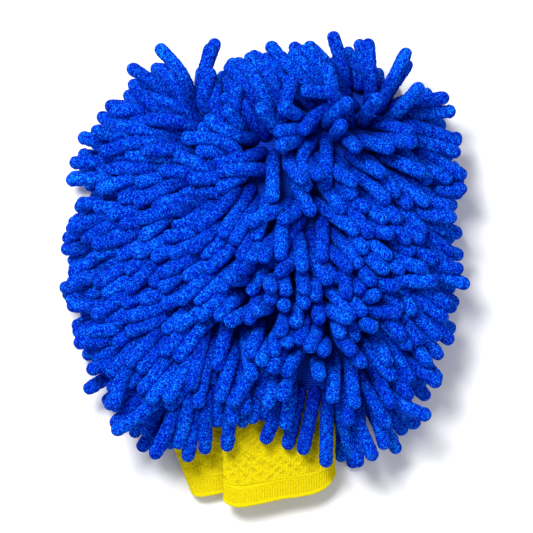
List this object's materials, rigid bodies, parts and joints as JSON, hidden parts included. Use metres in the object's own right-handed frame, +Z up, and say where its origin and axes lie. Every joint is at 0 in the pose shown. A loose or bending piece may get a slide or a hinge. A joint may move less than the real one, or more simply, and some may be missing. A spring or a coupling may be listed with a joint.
{
  "type": "wash mitt",
  "caption": "Soft chenille wash mitt with a finger lobe, a thumb lobe, rows of long microfibre noodles on both faces and a knitted wrist cuff.",
  "frame": {"origin": "on the table, under the middle of the whole mitt lying flat", "axes": "+Y towards the fingertips, +Z up away from the table, +X to the side away from the thumb"},
  "size_m": [0.2302, 0.264, 0.07],
  "materials": {
    "chenille": "soft fuzzy microfibre chenille, saturated royal blue",
    "base_knit": "matt knitted base cloth, deep blue",
    "seam_thread": "overlocked seam, blue thread",
    "cuff_knit": "fine elastic rib knit, bright yellow, matt"
  },
  "bodies": {
    "palm": {"heel_edge_left": "chenille", "heel_edge_right": "chenille", "palm_edge_left_1": "chenille", "palm_edge_left_2": "chenille", "palm_edge_right_1": "chenille", "palm_edge_right_2": "chenille", "palm_fabric_back": "base_knit", "palm_fabric_front": "base_knit", "palm_pile_back_1": "chenille", "palm_pile_back_2": "chenille", "palm_pile_back_3": "chenille", "palm_pile_back_4": "chenille", "palm_pile_back_5": "chenille", "palm_pile_back_6": "chenille", "palm_pile_back_7": "chenille", "palm_pile_front_1": "chenille", "palm_pile_front_2": "chenille", "palm_pile_front_3": "chenille", "palm_pile_front_4": "chenille", "palm_pile_front_5": "chenille", "palm_pile_front_6": "chenille", "palm_pile_front_7": "chenille", "palm_seam_left": "seam_thread", "palm_seam_right": "seam_thread", "wrist_seam": "seam_thread"},
    "fingers": {"finger_edge_inner": "chenille", "finger_edge_outer": "chenille", "finger_edge_tip": "chenille", "finger_fabric_back": "base_knit", "finger_fabric_front": "base_knit", "finger_pile_back_1": "chenille", "finger_pile_back_2": "chenille", "finger_pile_back_3": "chenille", "finger_pile_back_4": "chenille", "finger_pile_front_1": "chenille", "finger_pile_front_2": "chenille", "finger_pile_front_3": "chenille", "finger_pile_front_4": "chenille", "finger_seam": "seam_thread"},
    "thumb": {"thumb_edge_inner": "chenille", "thumb_edge_outer": "chenille", "thumb_edge_tip": "chenille", "thumb_fabric_back": "base_knit", "thumb_fabric_front": "base_knit", "thumb_pile_back_1": "chenille", "thumb_pile_back_2": "chenille", "thumb_pile_back_3": "chenille", "thumb_pile_back_4": "chenille", "thumb_pile_front_1": "chenille", "thumb_pile_front_2": "chenille", "thumb_pile_front_3": "chenille", "thumb_pile_front_4": "chenille", "thumb_seam": "seam_thread"},
    "cuff": {"cuff_hem": "cuff_knit", "cuff_knit": "cuff_knit"}
  },
  "joints": [
    {"name": "finger_fold", "type": "hinge", "parent": "palm", "child": "fingers", "pos_m": [0.04, 0.04, 0.03], "axis": [1, 0, 0], "range_deg": [0, 45]},
    {"name": "thumb_fold", "type": "hinge", "parent": "palm", "child": "thumb", "pos_m": [-0.06, 0.04, 0.03], "axis": [1, 0, 0], "range_deg": [0, 45]},
    {"name": "cuff_fold", "type": "hinge", "parent": "palm", "child": "cuff", "pos_m": [0, -0.07, 0.03], "axis": [-1, 0, 0], "range_deg": [0, 35]}
  ]
}
